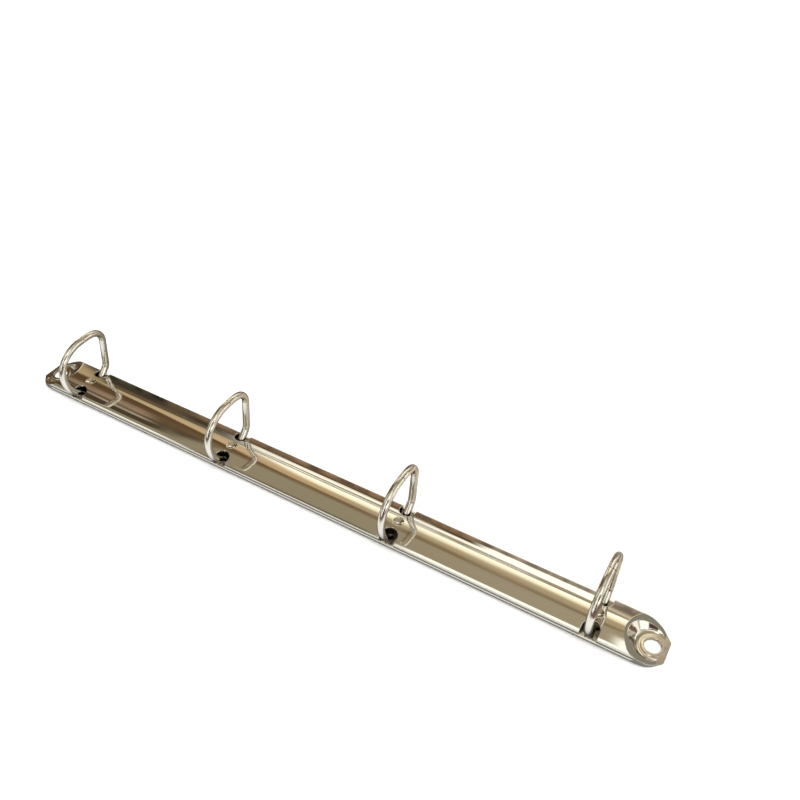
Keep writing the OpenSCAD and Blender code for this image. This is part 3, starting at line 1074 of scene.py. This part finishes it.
@dataclass
class Studio:
    """The floor, the light and the camera. Lengths on the floor are in metres.

    Attributes:
        lamps: The soft lamps.
        fill: Strength of the light that comes from all round.
        fill_tone: Colour of that light.
        eye: Place of the camera in metres.
        azimuth: Turn of the view from straight across the cover, in degrees.
        elevation: Fall of the view in degrees.
        roll: Turn of the picture in degrees.
        lens: Focal length in millimetres.
        sensor: Width of the sensor in millimetres.
        shift_y: Upward shift of the picture.
        clip: Nearest and farthest distance that the camera sees, in metres.
        clutter_scale: Closeness of the uneven tones low on the far wall.
        clutter_edge: Noise values between which those tones change.
        clutter_gain: Strength of the wall's tone at those values.
        clutter_top: Directions over the cover between which the uneven tones end.
        floor_size: Width of the floor.
        floor_drop: How far the floor lies below the cover's underside.
        floor_tone: The floor's own tone.
        floor_near_with_painted_shadow: Distance from the middle of the cover, and the tone that the plate
            mirrors there, with painted contact shadow in the dark bands next to the cover.
        floor_far: The same behind the cover.
        far_span: Places along the cover between which the tones behind it grow brighter.
        far_gain: Strength of the tones behind the cover at those places.
        divide: Half of the width over which the near and far tones blend.
        end_along: Places along the cover between which the dark tone past its right end sets in.
        end_across: Places across the cover between which that tone ends.
        twice_tone: Tone of the floor where it is mirrored twice.
        twice_share: Strength of that tone.
    """

    lamps: tuple[Lamp, ...] = (
        Lamp("overhead_soft", (0.1, 0.1, 1.6), 2.4, 26.0),
        Lamp("front_soft", (0.5, -1.2, 1.1), 1.2, 8.0),
    )
    fill: float = 0.6
    fill_tone: Colour = (1.0, 0.995, 0.985)
    eye: tuple[float, float, float] = (0.14516, -0.18165, 0.25989)
    azimuth: float = 29.98
    elevation: float = 42.32
    roll: float = 0.29
    lens: float = 38.655
    sensor: float = 36.0
    shift_y: float = -0.0025
    clip: Point2 = (0.005, 50.0)
    clutter_scale: float = 0.9
    clutter_edge: Point2 = (0.36, 0.62)
    clutter_gain: Point2 = (0.5, 1.3)
    clutter_top: Point2 = (26.0, 33.0)
    floor_size: float = 1.8
    floor_drop: float = 0.0002
    floor_tone: Colour = (0.93, 0.93, 0.93)
    # Tones the plate mirrors in front of the cover; the dark stops from 9.6 to 13.8 mm are painted contact
    # shadow beside the cover.
    floor_near_with_painted_shadow: tuple[tuple[float, Colour], ...] = (
        (0.0096, (0.3, 0.3, 0.3)),
        (0.0104, (0.58, 0.58, 0.58)),
        (0.0109, (0.5, 0.5, 0.5)),
        (0.0116, (0.15, 0.15, 0.155)),
        (0.0126, (0.16, 0.16, 0.165)),
        (0.0138, (0.6, 0.6, 0.59)),
        (0.018, (0.68, 0.68, 0.66)),
        (0.03, (0.68, 0.67, 0.65)),
        (0.055, (0.58, 0.565, 0.53)),
        (0.085, (0.3, 0.285, 0.25)),
        (0.13, (0.11, 0.1, 0.08)),
        (0.45, (0.09, 0.08, 0.065)),
    )
    floor_far: tuple[tuple[float, Colour], ...] = (
        (0.0096, (0.28, 0.23, 0.18)),
        (0.02, (0.42, 0.37, 0.3)),
        (0.05, (0.38, 0.32, 0.25)),
        (0.45, (0.3, 0.25, 0.19)),
    )
    far_span: Point2 = (-0.15, 0.12)
    far_gain: Point2 = (0.35, 1.5)
    divide: float = 0.004
    end_along: Point2 = (0.149, 0.153)
    end_across: Point2 = (0.034, 0.044)
    twice_tone: Colour = (0.2, 0.155, 0.1)
    twice_share: float = 0.75

    def build_camera(self) -> bpy.types.Object:
        """Makes the camera and sets it as the scene's own.

        Returns:
            The camera.
        """
        azimuth, elevation, roll = (math.radians(a) for a in (self.azimuth, self.elevation, self.roll))
        flat = math.cos(elevation)
        ahead = Vector((-math.sin(azimuth) * flat, math.cos(azimuth) * flat, -math.sin(elevation)))
        level = ahead.cross(Vector((0.0, 0.0, 1.0))).normalized()
        above = level.cross(ahead)
        right = math.cos(roll) * level + math.sin(roll) * above
        top = math.cos(roll) * above - math.sin(roll) * level
        data = bpy.data.cameras.new("camera")
        data.lens = self.lens
        data.sensor_width = self.sensor
        data.shift_y = self.shift_y
        data.clip_start, data.clip_end = self.clip
        data.dof.use_dof = False
        made = bpy.data.objects.new("camera", data)
        turn = Matrix((right, top, -ahead)).transposed().to_4x4()
        made.matrix_world = Matrix.Translation(Vector(self.eye)) @ turn
        bpy.context.scene.collection.objects.link(made)
        bpy.context.scene.camera = made
        return made

    def build_floor(self) -> bpy.types.Object:
        """Makes the pale floor.

        Returns:
            The floor, marked as stage.
        """
        half = self.floor_size / 2
        mesh = bpy.data.meshes.new("floor")
        corners = [(-half, -half, 0.0), (half, -half, 0.0), (half, half, 0.0), (-half, half, 0.0)]
        mesh.from_pydata(corners, [], [(0, 1, 2, 3)])
        made = bpy.data.objects.new("floor", mesh)
        made.location.z = -self.floor_drop
        bpy.context.scene.collection.objects.link(made)
        mesh.materials.append(self.floor_material())
        return made

    def floor_material(self) -> bpy.types.Material:
        """Makes the floor's finish: one pale tone as seen directly, and other tones as the plate mirrors it,
        with painted contact shadow beside the cover in those mirrored tones.

        Returns:
            The new material, which is clear from below.
        """
        made = bpy.data.materials.new("pale_floor")
        made.use_nodes = True
        graph = Graph(made.node_tree)
        place = graph.add("ShaderNodeTexCoord").outputs["Object"]
        parts = graph.add("ShaderNodeSeparateXYZ", {0: place})
        along, across = parts.outputs["X"], parts.outputs["Y"]
        away = graph.math("ABSOLUTE", across)
        gain = graph.remap(along, *self.far_span, *self.far_gain)
        far = graph.add(
            "ShaderNodeVectorMath",
            {0: graph.ramp(away, list(self.floor_far)), "Scale": gain},
            operation="SCALE",
        )
        mirrored = graph.mix(
            graph.remap(across, -self.divide, self.divide, 0.0, 1.0),
            # The near ramp holds painted contact shadow beside the cover.
            graph.ramp(away, list(self.floor_near_with_painted_shadow)),
            far.outputs[0],
        )
        beyond = graph.math(
            "MULTIPLY",
            graph.remap(along, *self.end_along, 0.0, 1.0),
            graph.remap(across, *self.end_across, 1.0, 0.0),
        )
        mirrored = graph.mix(beyond, mirrored, MAROON)
        rays = graph.add("ShaderNodeLightPath")
        again = graph.remap(rays.outputs["Glossy Depth"], 1.0, 2.0, 0.0, self.twice_share)
        mirrored = graph.mix(again, mirrored, self.twice_tone)
        colour = graph.mix(rays.outputs["Is Glossy Ray"], self.floor_tone, mirrored)
        shader = graph.add("ShaderNodeBsdfDiffuse", {"Color": colour})
        clear = graph.add("ShaderNodeBsdfTransparent")
        below = graph.add("ShaderNodeNewGeometry").outputs["Backfacing"]
        shader = graph.add("ShaderNodeMixShader", {0: below, 1: shader.outputs[0], 2: clear.outputs[0]})
        graph.add("ShaderNodeOutputMaterial", {"Surface": shader.outputs[0]})
        return made

    def build_room(self) -> None:
        """Makes the room that the bright plate mirrors, and the soft light that falls on the floor."""
        world = bpy.data.worlds.new("room")
        world.use_nodes = True
        bpy.context.scene.world = world
        graph = Graph(world.node_tree)
        look = graph.add("ShaderNodeTexCoord").outputs["Generated"]
        parts = graph.add("ShaderNodeSeparateXYZ", {0: look})
        along = graph.math("DEGREES", graph.math("ARCSINE", parts.outputs["X"]))
        over = graph.math("DEGREES", graph.math("ARCTAN2", parts.outputs["Z"], parts.outputs["Y"]))
        colour = ROOM[0].colour(graph, over)
        for patch in ROOM[1:]:
            colour = graph.mix(patch.mask(graph, along, over), colour, patch.colour(graph, over))
        clutter = graph.add(
            "ShaderNodeTexNoise",
            {"W": along, "Scale": self.clutter_scale, "Detail": 3.0},
            noise_dimensions="1D",
        )
        clutter = graph.remap(clutter.outputs[0], *self.clutter_edge, *self.clutter_gain)
        colour = graph.mix(
            graph.remap(over, *self.clutter_top, 1.0, 0.0),
            colour,
            graph.add("ShaderNodeVectorMath", {0: colour, "Scale": clutter}, operation="SCALE").outputs[0],
        )
        mirrored = graph.add("ShaderNodeBackground", {"Color": colour, "Strength": 1.0})
        soft = graph.add("ShaderNodeBackground", {"Color": (*self.fill_tone, 1.0), "Strength": self.fill})
        paper = graph.add("ShaderNodeBackground", {"Color": (1.0, 1.0, 1.0, 1.0), "Strength": 1.0})
        rays = graph.add("ShaderNodeLightPath")
        seen = soft
        for kind, shown in (("Is Glossy Ray", mirrored), ("Is Camera Ray", paper)):
            seen = graph.add(
                "ShaderNodeMixShader", {0: rays.outputs[kind], 1: seen.outputs[0], 2: shown.outputs[0]}
            )
        graph.add("ShaderNodeOutputWorld", {"Surface": seen.outputs[0]})

    def build(self) -> None:
        """Sets up the whole studio."""
        self.build_camera()
        self.build_floor()
        for lamp in self.lamps:
            lamp.build()
        self.build_room()
        bpy.context.scene.view_settings.view_transform = "Standard"


def main() -> None:
    """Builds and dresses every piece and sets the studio."""
    logging.basicConfig(level=logging.INFO, format="%(name)s: %(message)s")
    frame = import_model()
    effects = Effects()
    Studio().build()
    cover = SolidPiece("cover", "plated_cover")
    cover.dress(frame["nodes"]["cover"], COVER_PLATE.material(effects))
    LOG.info("cover dressed")
    blade_finish = BLADE_PLATE.material(effects)
    for name in ("near_blade", "far_blade"):
        SolidPiece(name, "blade_steel").dress(frame["nodes"][name], blade_finish)
        LOG.info("%s dressed", name)
    wire_finish = WIRE_PLATE.material(effects)
    for half in RingSet().halves():
        piece = half.build()
        half.dress(piece, wire_finish)
        LOG.info("%s swept", half.name)


if __name__ == "__main__":
    main()
